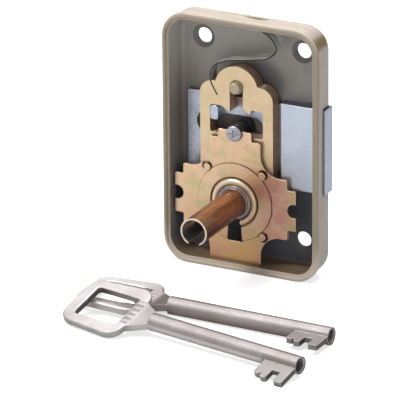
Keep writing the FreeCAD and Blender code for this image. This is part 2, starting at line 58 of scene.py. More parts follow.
def deselectAll():
    if bpy.context.object and bpy.context.object.mode != "OBJECT":
        bpy.ops.object.mode_set(mode="OBJECT")
    bpy.ops.object.select_all(action="DESELECT")


def pickOnly(piece):
    deselectAll()
    piece.select_set(True)
    bpy.context.view_layer.objects.active = piece


def settlePiece(piece):  # the piece's place goes into its mesh
    pickOnly(piece)
    bpy.ops.object.transform_apply(location=True, rotation=True, scale=True)
    return piece


def applyModifiers(piece):
    pickOnly(piece)
    for modifier in list(piece.modifiers):
        bpy.ops.object.modifier_apply(modifier=modifier.name)


def joinPieces(pieces, name):
    pickOnly(pieces[0])
    for piece in pieces:
        piece.select_set(True)
    bpy.ops.object.join()
    joined = bpy.context.object
    joined.name = name
    return joined


def smoothAndFinish(piece, angle, material):
    pickOnly(piece)
    bpy.ops.object.shade_smooth_by_angle(angle=math.radians(angle))
    piece.data.materials.append(material)


# small helpers for materials

def newMaterial(name):
    material = bpy.data.materials.new(name)
    material.use_nodes = True
    return material, material.node_tree


def newGroup(name, inputs, outputs):
    group = bpy.data.node_groups.new(name, "ShaderNodeTree")
    for label, kind, start in inputs:
        socket = group.interface.new_socket(name=label, in_out="INPUT", socket_type=kind)
        if start is not None:
            socket.default_value = start
    for label, kind in outputs:
        group.interface.new_socket(name=label, in_out="OUTPUT", socket_type=kind)
    return group, group.nodes.new("NodeGroupInput"), group.nodes.new("NodeGroupOutput")


def useGroup(tree, group, **values):
    node = tree.nodes.new("ShaderNodeGroup")
    node.node_tree = group
    for label, value in values.items():
        node.inputs[label].default_value = value
    return node


def noise(tree, vector, scale, detail=3.0, roughness=0.5):
    node = tree.nodes.new("ShaderNodeTexNoise")
    node.inputs["Scale"].default_value = scale
    node.inputs["Detail"].default_value = detail
    node.inputs["Roughness"].default_value = roughness
    tree.links.new(vector, node.inputs["Vector"])
    return node.outputs["Fac"]


def spread(tree, value, low, high, toLow=0.0, toHigh=1.0):
    node = tree.nodes.new("ShaderNodeMapRange")
    node.interpolation_type = "SMOOTHSTEP"
    node.inputs["From Min"].default_value = low
    node.inputs["From Max"].default_value = high
    node.inputs["To Min"].default_value = toLow
    node.inputs["To Max"].default_value = toHigh
    tree.links.new(value, node.inputs["Value"])
    return node.outputs["Result"]


def sums(tree, kind, first, second=0.0):
    node = tree.nodes.new("ShaderNodeMath")
    node.operation = kind
    for socket, value in zip(node.inputs, (first, second)):
        if isinstance(value, (int, float)):
            socket.default_value = value
        else:
            tree.links.new(value, socket)
    return node.outputs[0]


def product(tree, *factors):
    result = factors[0]
    for factor in factors[1:]:
        result = sums(tree, "MULTIPLY", result, factor)
    return result


def difference(tree, first, second):
    return sums(tree, "SUBTRACT", first, second)


def larger(tree, first, second):
    return sums(tree, "MAXIMUM", first, second)


def absolute(tree, value):
    return sums(tree, "ABSOLUTE", value)


def blendColours(tree, factor, first, second, kind="MIX"):
    node = tree.nodes.new("ShaderNodeMix")
    node.data_type = "RGBA"
    node.blend_type = kind
    factorSocket, firstSocket, secondSocket = node.inputs[0], node.inputs[6], node.inputs[7]
    for socket, value in ((factorSocket, factor), (firstSocket, first), (secondSocket, second)):
        if isinstance(value, (int, float)):
            socket.default_value = value
        elif isinstance(value, tuple):
            socket.default_value = value + (1.0,)
        else:
            tree.links.new(value, socket)
    return node.outputs[2]


def offsetsFrom(tree, place, centre):
    return difference(tree, place["X"], centre[0]), difference(tree, place["Z"], centre[1])


def planeDistance(tree, across, up):
    total = sums(tree, "ADD", product(tree, across, across), product(tree, up, up))
    return sums(tree, "SQRT", total)


def thinRing(tree, distance, radius, half):
    outer = spread(tree, distance, radius + half, radius)
    return product(tree, outer, spread(tree, distance, radius - half, radius))


def raised(tree, height, strength, distance, normal=None):
    node = tree.nodes.new("ShaderNodeBump")
    node.inputs["Strength"].default_value = strength
    node.inputs["Distance"].default_value = distance
    tree.links.new(height, node.inputs["Height"])
    if normal is not None:
        tree.links.new(normal, node.inputs["Normal"])
    return node.outputs["Normal"]


def dressShader(tree, colour, metallic, roughness, normal=None):
    shader = tree.nodes["Principled BSDF"]
    values = {"Base Color": colour, "Metallic": metallic, "Roughness": roughness, "Normal": normal}
    for label, value in values.items():
        if isinstance(value, (int, float)):
            shader.inputs[label].default_value = value
        elif value is not None:
            tree.links.new(value, shader.inputs[label])
    return shader


# patterns that several finishes share

patternLook = {
    "bevelSamples": 6,
    "edgeRange": (0.995, 0.85),
    "sideWall": (0.8, 0.4),
    "cloudDetail": 4.0,
    "grainDetail": 5.0,
    "grainRoughness": 0.65,
    "grainScale": 14.0,
    "spotScale": 5.0,
    "spotRange": (0.35, 0.12),
    "middle": (0.3, 0.7),
    "broadNoise": (1.0, 2.0),
    "narrowNoise": (5.0, 4.0, 0.6),
    "sheetClouds": 0.6,
    "sheetGrain": (0.35, 0.65, 0.0, 0.4),
}


def makeSoftEdges():
    group, start, end = newGroup(
        "softEdges",
        [("Radius", "NodeSocketFloat", 0.0002)],
        [("Normal", "NodeSocketVector"), ("Edge", "NodeSocketFloat")],
    )
    bevel = group.nodes.new("ShaderNodeBevel")
    bevel.samples = patternLook["bevelSamples"]
    geometry = group.nodes.new("ShaderNodeNewGeometry")
    turned = group.nodes.new("ShaderNodeVectorMath")
    turned.operation = "DOT_PRODUCT"
    group.links.new(start.outputs["Radius"], bevel.inputs["Radius"])
    group.links.new(bevel.outputs["Normal"], turned.inputs[0])
    group.links.new(geometry.outputs["Normal"], turned.inputs[1])
    group.links.new(bevel.outputs["Normal"], end.inputs["Normal"])
    group.links.new(spread(group, turned.outputs["Value"], *patternLook["edgeRange"]), end.inputs["Edge"])
    return group


def makePlaces():
    labels = ("X", "Y", "Z", "Facing front", "Facing up", "Side wall")
    outputs = [("Position", "NodeSocketVector")] + [(label, "NodeSocketFloat") for label in labels]
    group, start, end = newGroup("places", [], outputs)
    coordinates = group.nodes.new("ShaderNodeTexCoord")
    position = group.nodes.new("ShaderNodeSeparateXYZ")
    normal = group.nodes.new("ShaderNodeSeparateXYZ")
    group.links.new(coordinates.outputs["Object"], position.inputs[0])
    group.links.new(coordinates.outputs["Normal"], normal.inputs[0])
    group.links.new(coordinates.outputs["Object"], end.inputs["Position"])
    for axis in "XYZ":
        group.links.new(position.outputs[axis], end.inputs[axis])
    group.links.new(product(group, normal.outputs["Y"], -1.0), end.inputs["Facing front"])
    group.links.new(normal.outputs["Z"], end.inputs["Facing up"])
    flat = absolute(group, normal.outputs["Y"])
    group.links.new(spread(group, flat, *patternLook["sideWall"]), end.inputs["Side wall"])
    return group


def makeMottle():
    group, start, end = newGroup(
        "mottle",
        [("Vector", "NodeSocketVector", None), ("Scale", "NodeSocketFloat", 100.0)],
        [("Clouds", "NodeSocketFloat"), ("Grain", "NodeSocketFloat"), ("Spots", "NodeSocketFloat")],
    )
    clouds = group.nodes.new("ShaderNodeTexNoise")
    clouds.inputs["Detail"].default_value = patternLook["cloudDetail"]
    grain = group.nodes.new("ShaderNodeTexNoise")
    grain.inputs["Detail"].default_value = patternLook["grainDetail"]
    grain.inputs["Roughness"].default_value = patternLook["grainRoughness"]
    spots = group.nodes.new("ShaderNodeTexVoronoi")
    factors = ((clouds, 1.0), (grain, patternLook["grainScale"]), (spots, patternLook["spotScale"]))
    for node, factor in factors:
        scale = product(group, start.outputs["Scale"], factor)
        group.links.new(scale, node.inputs["Scale"])
        group.links.new(start.outputs["Vector"], node.inputs["Vector"])
    group.links.new(spread(group, clouds.outputs["Fac"], *patternLook["middle"]), end.inputs["Clouds"])
    group.links.new(grain.outputs["Fac"], end.inputs["Grain"])
    spotted = spread(group, spots.outputs["Distance"], *patternLook["spotRange"])
    group.links.new(spotted, end.inputs["Spots"])
    return group


def makeDrawnLines():
    group, start, end = newGroup(
        "drawnLines",
        [("Vector", "NodeSocketVector", None), ("Along", "NodeSocketVector", (1.0, 1.0, 1.0))],
        [("Broad", "NodeSocketFloat"), ("Narrow", "NodeSocketFloat")],
    )
    mapping = group.nodes.new("ShaderNodeMapping")
    group.links.new(start.outputs["Vector"], mapping.inputs["Vector"])
    group.links.new(start.outputs["Along"], mapping.inputs["Scale"])
    broad = noise(group, mapping.outputs["Vector"], *patternLook["broadNoise"])
    narrow = noise(group, mapping.outputs["Vector"], *patternLook["narrowNoise"])
    group.links.new(spread(group, broad, *patternLook["middle"]), end.inputs["Broad"])
    group.links.new(spread(group, narrow, *patternLook["middle"]), end.inputs["Narrow"])
    return group


print("rim lock: shared patterns")
softEdges = makeSoftEdges()
places = makePlaces()
mottle = makeMottle()
drawnLines = makeDrawnLines()


def startFinish(name, look):
    material, tree = newMaterial(name)
    place = useGroup(tree, places)
    soft = useGroup(tree, softEdges, Radius=look["edgeRadius"])
    return material, tree, place.outputs, soft.outputs


def cloudsOn(tree, position, scale):
    clouds = useGroup(tree, mottle, Scale=scale)
    tree.links.new(position, clouds.inputs["Vector"])
    return clouds.outputs


def linesOn(tree, position, scale):
    lines = useGroup(tree, drawnLines, Along=scale)
    tree.links.new(position, lines.inputs["Vector"])
    return lines.outputs


def cloudsAndGrain(tree, clouds):
    grain = spread(tree, clouds["Grain"], *patternLook["sheetGrain"])
    return sums(tree, "ADD", product(tree, clouds["Clouds"], patternLook["sheetClouds"]), grain)


# case: satin enamel, greyer inside, partly as painted shade; painted highlights on its top, its rim's ends
# and its edges, painted shade at its right top corner, low in the hollow, behind the levers and in the
# fixing holes

caseLook = {
    "outside": (0.36, 0.315, 0.285),
    "outsidePale": (0.41, 0.365, 0.335),
    "outsideTop": (0.42, 0.36, 0.305),
    "topFacing": (0.85, 0.97),
    "streak": (0.20, 0.165, 0.13),
    "streakRange": (0.5, 1.0, 0.0, 0.35),
    "streakScale": (35.0, 1300.0, 35.0),
    "cornerOlive": (0.15, 0.105, 0.05),
    "cornerFrom": (0.15, 0.4),
    "cornerTo": (0.8, 0.55),
    "cornerSide": (0.0, 0.01),
    "bandLine": (0.14, 0.115, 0.09),
    "bandStart": (-0.0108, -0.0106),
    "bandEnd": (-0.0100, -0.0104),
    "bandStrength": 0.6,
    "rim": (0.34, 0.29, 0.22),
    "rimFront": (-0.0121, -0.0124),
    "rimEnds": (0.60, 0.515, 0.43),
    "rimBottom": (-0.030, -0.044),
    "rimTop": (0.038, 0.045, 0.0, 0.4),
    "rimPale": (0.72, 0.63, 0.46),
    "rimHighlightShare": 0.75,
    "inside": (0.205, 0.185, 0.162),
    "insidePale": (0.245, 0.234, 0.218),
    "insideTop": (0.44, 0.42, 0.395),
    "insideTopRange": (0.004, 0.042),
    "insideLow": (0.115, 0.125, 0.16),
    "insideLowRange": (-0.008, -0.022, 0.0, 0.85),
    "insideLowDepth": (-0.0095, -0.007),
    "insideBottom": (0.175, 0.12, 0.078),
    "insideBottomFacing": (0.3, 0.8),
    "leverShade": (0.05, 0.055, 0.07),
    "leverShadeAt": (0.0035, 0.0215),
    "leverShadeRange": (0.0115, 0.0055, 0.0, 0.6),
    "sink": (0.155, 0.145, 0.135),
    "sinkPlace": (0.0194, 0.03535),
    "sinkRange": (0.0044, 0.0042, 0.0, 0.8),
    "hole": (0.07, 0.062, 0.055),
    "holeRange": (-0.0012, -0.0010),
    "innerHalf": (0.0285, 0.045),
    "innerCorner": 0.0076,
    "innerBlur": 0.0003,
    "innerFront": (-0.0123, -0.0120),
    "innerBack": (-0.0001, -0.0003),
    "cloudScale": 35.0,
    "roughness": (0.3, 0.7, 0.37, 0.50),
    "specular": 0.35,
    "bump": (0.25, 0.00008),
    "edgeRadius": 0.0004,
}


def paintOutside(tree, place, clouds, streakLines):
    upward = place["Facing up"]
    outside = blendColours(tree, clouds["Clouds"], caseLook["outside"], caseLook["outsidePale"])
    # painted highlight: the top of the case paler where the light falls on it
    onTop = spread(tree, upward, *caseLook["topFacing"])
    outside = blendColours(tree, onTop, outside, caseLook["outsideTop"])
    # darker streaks running round the walls, parallel to the rim
    streaked = spread(tree, streakLines["Broad"], *caseLook["streakRange"])
    outside = blendColours(tree, streaked, outside, caseLook["streak"])
    # painted shade: an olive-brown band where the top wall bends round into the right side wall
    onCorner = product(
        tree,
        spread(tree, upward, *caseLook["cornerFrom"]),
        spread(tree, upward, *caseLook["cornerTo"]),
        spread(tree, place["X"], *caseLook["cornerSide"]),
    )
    outside = blendColours(tree, onCorner, outside, caseLook["cornerOlive"])
    behindBand = product(
        tree,
        spread(tree, place["Y"], *caseLook["bandStart"]),
        spread(tree, place["Y"], *caseLook["bandEnd"]),
        caseLook["bandStrength"],
    )
    return blendColours(tree, behindBand, outside, caseLook["bandLine"])


def paintInside(tree, place, clouds, fromMiddleX, fromMiddleZ):
    # darker and greyer inside than outside: partly the hollow's own tone, partly painted shade
    inside = blendColours(tree, clouds["Clouds"], caseLook["inside"], caseLook["insidePale"])
    highUp = spread(tree, place["Z"], *caseLook["insideTopRange"])
    inside = blendColours(tree, highUp, inside, caseLook["insideTop"])
    # painted shade: bluish dark low in the hollow, towards its floor
    lowFloor = product(
        tree,
        spread(tree, place["Z"], *caseLook["insideLowRange"]),
        spread(tree, place["Y"], *caseLook["insideLowDepth"]),
    )
    inside = blendColours(tree, lowFloor, inside, caseLook["insideLow"])
    onBottom = spread(tree, place["Facing up"], *caseLook["insideBottomFacing"])
    inside = blendColours(tree, onBottom, inside, caseLook["insideBottom"])
    fromLevers = planeDistance(tree, *offsetsFrom(tree, place, caseLook["leverShadeAt"]))
    behindLevers = spread(tree, fromLevers, *caseLook["leverShadeRange"])
    inside = blendColours(tree, behindLevers, inside, caseLook["leverShade"])
    # painted shade in the countersinks round the fixing holes, and darkest deep in the holes
    sinkX, sinkZ = caseLook["sinkPlace"]
    offSinkX = difference(tree, fromMiddleX, sinkX)
    offSinkZ = difference(tree, fromMiddleZ, sinkZ)
    inSink = spread(tree, planeDistance(tree, offSinkX, offSinkZ), *caseLook["sinkRange"])
    inside = blendColours(tree, inSink, inside, caseLook["sink"])
    inHole = spread(tree, place["Y"], *caseLook["holeRange"])
    return blendColours(tree, inHole, inside, caseLook["hole"])


def makeCaseEnamel():
    material, tree, place, soft = startFinish("caseEnamel", caseLook)
    clouds = cloudsOn(tree, place["Position"], caseLook["cloudScale"])
    streakLines = linesOn(tree, place["Position"], caseLook["streakScale"])
    fromMiddleX = absolute(tree, place["X"])
    fromMiddleZ = absolute(tree, place["Z"])
    # the hollow: a rounded rectangle between the rim and the back face
    halfX, halfZ = caseLook["innerHalf"]
    corner = caseLook["innerCorner"]
    pastX = larger(tree, difference(tree, fromMiddleX, halfX - corner), 0.0)
    pastZ = larger(tree, difference(tree, fromMiddleZ, halfZ - corner), 0.0)
    inner = product(
        tree,
        spread(tree, planeDistance(tree, pastX, pastZ), corner + caseLook["innerBlur"], corner),
        spread(tree, place["Y"], *caseLook["innerFront"]),
        spread(tree, place["Y"], *caseLook["innerBack"]),
    )
    outside = paintOutside(tree, place, clouds, streakLines)
    inside = paintInside(tree, place, clouds, fromMiddleX, fromMiddleZ)
    colour = blendColours(tree, inner, outside, inside)
    # painted highlight: the front rim paler towards the case's top and bottom ends
    atBottom = spread(tree, place["Z"], *caseLook["rimBottom"])
    atTop = spread(tree, place["Z"], *caseLook["rimTop"])
    rim = blendColours(tree, larger(tree, atBottom, atTop), caseLook["rim"], caseLook["rimEnds"])
    colour = blendColours(tree, spread(tree, place["Y"], *caseLook["rimFront"]), colour, rim)
    # painted highlight along the rounded edges outside the hollow
    rimEdgeHighlight = product(tree, soft["Edge"], caseLook["rimHighlightShare"], difference(tree, 1.0, inner))
    colour = blendColours(tree, rimEdgeHighlight, colour, caseLook["rimPale"])
    rough = spread(tree, clouds["Grain"], *caseLook["roughness"])
    peel = raised(tree, clouds["Grain"], *caseLook["bump"], soft["Normal"])
    shader = dressShader(tree, colour, 0.0, rough, peel)
    shader.inputs["Specular IOR Level"].default_value = caseLook["specular"]
    return material


# levers: punched brass sheet, browner on its sheared edges, partly as painted shade, with painted highlights
# along its edges

leverLook = {
    "face": (0.72, 0.54, 0.33),
    "facePale": (0.84, 0.67, 0.45),
    "cloudScale": 120.0,
    "blush": (0.88, 0.58, 0.40),
    "straw": (0.74, 0.66, 0.36),
    "blushNoise": (170.0, 3.0, 0.6),
    "blushRange": (0.50, 0.66, 0.0, 0.45),
    "strawRange": (0.48, 0.34, 0.0, 0.4),
    "stain": (0.45, 0.27, 0.14),
    "stainStrength": 0.12,
    "frontY": -0.0087,
    "pitch": 0.001,
    "edge": (0.065, 0.024, 0.014),
    "edgePale": (0.34, 0.15, 0.085),
    "shearRange": (0.95, 0.4, 0.0, 0.7),
    "lineScale": (90.0, 90.0, 1400.0),
    "lineShare": 0.3,
    "rimLight": (0.84, 0.55, 0.34),
    "burrRange": (0.36, 0.22, 0.0, 0.95),
    "burrNoise": (420.0, 2.0),
    "burrPatches": (0.40, 0.60, 0.4, 1.0),
    "edgeLight": (0.92, 0.76, 0.54),
    "edgeLightShare": 0.65,
    "metallic": (0.0, 1.0, 0.9, 0.4),
    "roughness": (0.3, 0.7, 0.28, 0.42),
    "bump": (0.12, 0.00003),
    "edgeRadius": 0.0002,
}


def makeLeverBrass():
    material, tree, place, soft = startFinish("leverBrass", leverLook)
    clouds = cloudsOn(tree, place["Position"], leverLook["cloudScale"])
    lines = linesOn(tree, place["Position"], leverLook["lineScale"])
    face = blendColours(tree, cloudsAndGrain(tree, clouds), leverLook["face"], leverLook["facePale"])
    blush = noise(tree, place["Position"], *leverLook["blushNoise"])
    face = blendColours(tree, spread(tree, blush, *leverLook["blushRange"]), face, leverLook["blush"])
    face = blendColours(tree, spread(tree, blush, *leverLook["strawRange"]), face, leverLook["straw"])
    stained = product(tree, clouds["Spots"], leverLook["stainStrength"])
    face = blendColours(tree, stained, face, leverLook["stain"])
    # the cut edge of each sheet: a bright burr in front, partly a painted highlight, and darker towards the
    # next sheet, partly painted shade between the sheets
    depth = difference(tree, place["Y"], leverLook["frontY"])
    layer = sums(tree, "FRACT", sums(tree, "DIVIDE", depth, leverLook["pitch"]))
    shear = spread(tree, layer, *leverLook["shearRange"])
    shear = sums(tree, "ADD", shear, product(tree, lines["Narrow"], leverLook["lineShare"]))
    edge = blendColours(tree, shear, leverLook["edge"], leverLook["edgePale"])
    burrNoise = noise(tree, place["Position"], *leverLook["burrNoise"])
    patches = spread(tree, burrNoise, *leverLook["burrPatches"])
    burr = product(tree, spread(tree, layer, *leverLook["burrRange"]), patches)
    edge = blendColours(tree, burr, edge, leverLook["rimLight"])
    colour = blendColours(tree, place["Side wall"], face, edge)
    # painted highlight along the rounded edges of each lever
    bright = product(tree, soft["Edge"], leverLook["edgeLightShare"])
    colour = blendColours(tree, bright, colour, leverLook["edgeLight"])
    metallic = spread(tree, soft["Edge"], *leverLook["metallic"])
    rough = spread(tree, clouds["Grain"], *leverLook["roughness"])
    lined = raised(tree, lines["Narrow"], *leverLook["bump"], soft["Normal"])
    dressShader(tree, colour, metallic, rough, lined)
    return material


# keyhole plate and collar: yellow zinc with a pink and green bloom, painted highlights on its edges and
# dome, and painted shade on its walls over the levers and in the dome's groove

plateLook = {
    "gold": (0.76, 0.52, 0.32),
    "pale": (0.90, 0.68, 0.46),
    "cloudScale": 75.0,
    "green": (0.56, 0.54, 0.26),
    "greenNoise": (95.0, 3.0, 0.55),
    "greenSkew": (1.0, 1.0, -1.6),
    "greenRange": (0.48, 0.66, 0.0, 0.62),
    "amber": (0.84, 0.50, 0.20),
    "amberBelow": (-0.026, -0.040, 0.0, 0.7),
    "pink": (0.74, 0.35, 0.29),
    "pinkNoise": (85.0, 3.0, 0.6),
    "pinkRight": (0.002, 0.012, 0.2, 1.0),
    "pinkBelow": (-0.034, -0.044, 0.0, 0.6),
    "pinkRange": (0.40, 0.58, 0.0, 0.85),
    "olive": (0.60, 0.46, 0.19),
    "oliveFrom": (0.0185, 0.0225, 0.0, 0.45),
    "edge": (0.24, 0.12, 0.055),
    "edgeDark": (0.07, 0.025, 0.012),
    "edgeDarkAbove": (-0.014, -0.008),
    "edgeShare": 0.9,
    "edgeLight": (1.0, 0.86, 0.62),
    "edgeLightShare": 0.8,
    "hub": (-0.0034, -0.0218),
    "cream": (0.97, 0.87, 0.70),
    "domeRange": (0.0091, 0.0088),
    "domeLit": (-0.006, 0.008, 0.12, 0.56),
    "domeSoftness": 0.6,
    "groove": (0.0092, 0.0006),
    "grooveLit": (0.50, 0.31, 0.14),
    "discLine": (0.0145, 0.0003),
    "discSide": (-0.008, 0.006, 0.6, 0.85),
    "stakes": ((-0.0144, -0.0100), (0.0076, -0.0100), (-0.0144, -0.0336), (0.0076, -0.0336)),
    "stakeRing": (0.0018, 0.0005),
    "stakeArc": (-0.0012, 0.0008, 0.0, 0.55),
    "metallic": (0.0, 1.0, 0.92, 0.35),
    "roughness": (0.3, 0.7, 0.28, 0.40),
    "bump": (0.10, 0.00004),
    "edgeRadius": 0.00045,
}


def makePlateGold():
    material, tree, place, soft = startFinish("plateGold", plateLook)
    clouds = cloudsOn(tree, place["Position"], plateLook["cloudScale"])
    offHubX, offHubZ = offsetsFrom(tree, place, plateLook["hub"])
    fromHub = planeDistance(tree, offHubX, offHubZ)
    colour = blendColours(tree, cloudsAndGrain(tree, clouds), plateLook["gold"], plateLook["pale"])
    skewed = tree.nodes.new("ShaderNodeMapping")
    skewed.inputs["Scale"].default_value = plateLook["greenSkew"]
    tree.links.new(place["Position"], skewed.inputs["Vector"])
    greenBloom = noise(tree, skewed.outputs["Vector"], *plateLook["greenNoise"])
    greenness = spread(tree, greenBloom, *plateLook["greenRange"])
    colour = blendColours(tree, greenness, colour, plateLook["green"])
    lowDown = spread(tree, place["Z"], *plateLook["amberBelow"])
    colour = blendColours(tree, lowDown, colour, plateLook["amber"])
    pinkBloom = noise(tree, place["Position"], *plateLook["pinkNoise"])
    pinkRight = spread(tree, place["X"], *plateLook["pinkRight"])
    pinkBelow = spread(tree, place["Z"], *plateLook["pinkBelow"])
    pinkness = spread(tree, pinkBloom, *plateLook["pinkRange"])
    pinkness = product(tree, pinkness, larger(tree, pinkRight, pinkBelow))
    colour = blendColours(tree, pinkness, colour, plateLook["pink"])
    outward = spread(tree, offHubX, *plateLook["oliveFrom"])
    colour = blendColours(tree, outward, colour, plateLook["olive"])
    # side walls brown, darker high up over the levers as a painted shadow
    highUp = spread(tree, place["Z"], *plateLook["edgeDarkAbove"])
    wall = blendColours(tree, highUp, plateLook["edge"], plateLook["edgeDark"])
    colour = blendColours(tree, product(tree, place["Side wall"], plateLook["edgeShare"]), colour, wall)
    # painted highlight: cream on the upper left of the collar's dome
    lit = spread(tree, difference(tree, offHubZ, offHubX), *plateLook["domeLit"])
    onDome = product(tree, spread(tree, fromHub, *plateLook["domeRange"]), lit)
    colour = blendColours(tree, onDome, colour, plateLook["cream"])
    # painted highlight along the rounded edges
    bright = product(tree, soft["Edge"], plateLook["edgeLightShare"])
    colour = blendColours(tree, bright, colour, plateLook["edgeLight"])
    # the groove round the dome: painted shade on its upper left, painted light on its lower right
    grooveColour = blendColours(tree, lit, plateLook["grooveLit"], plateLook["edge"])
    colour = blendColours(tree, thinRing(tree, fromHub, *plateLook["groove"]), colour, grooveColour)
    # a dark line round the collar's disc where it meets the plate, stronger on the right as painted shade
    rightSide = spread(tree, place["X"], *plateLook["discSide"])
    discLine = product(tree, thinRing(tree, fromHub, *plateLook["discLine"]), rightSide)
    colour = blendColours(tree, discLine, colour, plateLook["edge"])
    for stake in plateLook["stakes"]:
        offX, offZ = offsetsFrom(tree, place, stake)
        ring = thinRing(tree, planeDistance(tree, offX, offZ), *plateLook["stakeRing"])
        upRight = spread(tree, sums(tree, "ADD", offX, offZ), *plateLook["stakeArc"])
        colour = blendColours(tree, product(tree, ring, upRight), colour, plateLook["edge"])
    diffused = larger(tree, soft["Edge"], product(tree, onDome, plateLook["domeSoftness"]))
    metallic = spread(tree, diffused, *plateLook["metallic"])
    rough = spread(tree, clouds["Grain"], *plateLook["roughness"])
    uneven = raised(tree, clouds["Clouds"], *plateLook["bump"], soft["Normal"])
    dressShader(tree, colour, metallic, rough, uneven)
    return material


# bolt, posts and screw: bright zinc, with painted highlights, painted shade and a painted reflection

zincLook = {
    "bolt": {"main": (0.53, 0.575, 0.685), "pale": (0.67, 0.715, 0.805), "dullAndShade": (0.30, 0.35, 0.42)},
    "steel": {"main": (0.43, 0.44, 0.51), "pale": (0.74, 0.75, 0.82), "dullAndShade": (0.18, 0.18, 0.21)},
    "ring": {"main": (0.46, 0.40, 0.385), "pale": (0.74, 0.66, 0.62), "dullAndShade": (0.20, 0.15, 0.15)},
    "black": {"main": (0.10, 0.095, 0.10), "pale": (0.16, 0.15, 0.16), "dullAndShade": (0.05, 0.05, 0.05)},
    "cloudScale": 150.0,
    "dullRange": (0.42, 0.66, 0.0, 0.5),
    "edgeShare": 0.5,
    "nearWall": (0.68, 0.76, 0.88),
    "wallRange": (-0.004, 0.022),
    "inCase": (0.029, 0.0286),
    "outOfCase": (0.029, 0.0294, 0.0, 0.6),
    "sideDark": (0.10, 0.075, 0.09),
    "brassTint": (0.30, 0.17, 0.15),
    "slotMiddle": -0.0034,
    "slotHalf": (0.005, 0.0045),
    "slotAbove": (0.0105, 0.013),
    "topFacing": (0.2, 0.6),
    "topShare": 0.25,
    "metallic": 0.95,
    "roughness": (0.3, 0.7, 0.32, 0.46),
    "bump": (0.15, 0.00004),
    "edgeRadius": 0.00022,
}


def makeZinc(name, tones, topShade=0.0, inWall=0.0, sideShade=0.0):
    material, tree, place, soft = startFinish(name, zincLook)
    clouds = cloudsOn(tree, place["Position"], zincLook["cloudScale"])
    colour = blendColours(tree, clouds["Clouds"], tones["main"], tones["pale"])
    colour = blendColours(tree, spread(tree, clouds["Grain"], *zincLook["dullRange"]), colour, tones["dullAndShade"])
    # painted highlight along the rounded edges
    colour = blendColours(tree, product(tree, soft["Edge"], zincLook["edgeShare"]), colour, tones["pale"])
    # painted light: the bolt paler and bluer towards the case's right wall, away from the levers
    besideWall = spread(tree, place["X"], *zincLook["wallRange"], 0.0, inWall)
    inCase = spread(tree, place["X"], *zincLook["inCase"])
    colour = blendColours(tree, product(tree, besideWall, inCase), colour, zincLook["nearWall"])
    shade = spread(tree, place["Side wall"], 0.0, 1.0, 0.0, sideShade)
    colour = blendColours(tree, shade, colour, zincLook["sideDark"])
    # painted shade: the bolt's nose darker where it stands out of the case
    outOfCase = spread(tree, place["X"], *zincLook["outOfCase"])
    colour = blendColours(tree, outOfCase, colour, tones["dullAndShade"])
    # brass mirrored in the bolt behind the levers' upper slot
    fromSlot = absolute(tree, difference(tree, place["X"], zincLook["slotMiddle"]))
    behindSlot = product(
        tree,
        spread(tree, place["Z"], *zincLook["slotAbove"], 0.0, inWall),
        spread(tree, fromSlot, *zincLook["slotHalf"]),
    )
    colour = blendColours(tree, behindSlot, colour, zincLook["brassTint"])
    onTop = spread(tree, place["Facing up"], *zincLook["topFacing"], 0.0, topShade)
    topColour = tuple(value * zincLook["topShare"] for value in tones["dullAndShade"])
    colour = blendColours(tree, onTop, colour, topColour)
    rough = spread(tree, clouds["Grain"], *zincLook["roughness"])
    grainy = raised(tree, clouds["Grain"], *zincLook["bump"], soft["Normal"])
    dressShader(tree, colour, zincLook["metallic"], rough, grainy)
    return material


# guide stud: dull olive brass, turned on a lathe

studLook = {
    "face": (0.43, 0.36, 0.24),
    "ring": (0.60, 0.51, 0.35),
    "side": (0.34, 0.27, 0.17),
    "centre": (-0.0034, 0.0, 0.0206),
    "ringScale": 414.0,
    "ringDistortion": 0.6,
    "metallic": 0.6,
    "roughness": 0.55,
    "bump": (0.2, 0.00003),
    "edgeRadius": 0.00025,
}


def makeStudBrass():
    material, tree, place, soft = startFinish("studBrass", studLook)
    mapping = tree.nodes.new("ShaderNodeMapping")
    mapping.vector_type = "TEXTURE"
    mapping.inputs["Location"].default_value = studLook["centre"]
    tree.links.new(place["Position"], mapping.inputs["Vector"])
    rings = tree.nodes.new("ShaderNodeTexWave")
    rings.wave_type = "RINGS"
    rings.rings_direction = "Y"
    rings.inputs["Scale"].default_value = studLook["ringScale"]
    rings.inputs["Distortion"].default_value = studLook["ringDistortion"]
    tree.links.new(mapping.outputs["Vector"], rings.inputs["Vector"])
    colour = blendColours(tree, rings.outputs["Fac"], studLook["face"], studLook["ring"])
    # painted shade on the stud's side walls
    colour = blendColours(tree, place["Side wall"], colour, studLook["side"])
    turned = raised(tree, rings.outputs["Fac"], *studLook["bump"], soft["Normal"])
    dressShader(tree, colour, studLook["metallic"], studLook["roughness"], turned)
    return material


# key tube: drawn copper-brown tube, with painted shade below and painted light in its bore, pale at its cut
# end

tubeLook = {
    "copper": (0.35, 0.155, 0.075),
    "bright": (0.57, 0.30, 0.165),
    "lineScale": (520.0, 30.0, 520.0),
    "brown": (0.15, 0.06, 0.04),
    "brownRange": (0.5, 1.0, 0.0, 0.7),
    "under": (0.12, 0.065, 0.072),
    "underRange": (-0.0184, -0.0232, 0.0, 0.85),
    "plum": (0.17, 0.07, 0.095),
    "plumNoise": (260.0, 2.0),
    "plumRange": (0.42, 0.58),
    "axis": (-0.0034, -0.0218),
    "bore": (0.42, 0.39, 0.40),
    "boreRange": (0.0047, 0.0046),
    "cutEnd": (0.86, 0.78, 0.60),
    "cutEndRange": (-0.0424, -0.04252),
    "metallic": 0.9,
    "roughness": (0.0, 1.0, 0.24, 0.36),
    "bump": (0.15, 0.00003),
    "edgeRadius": 0.00012,
}


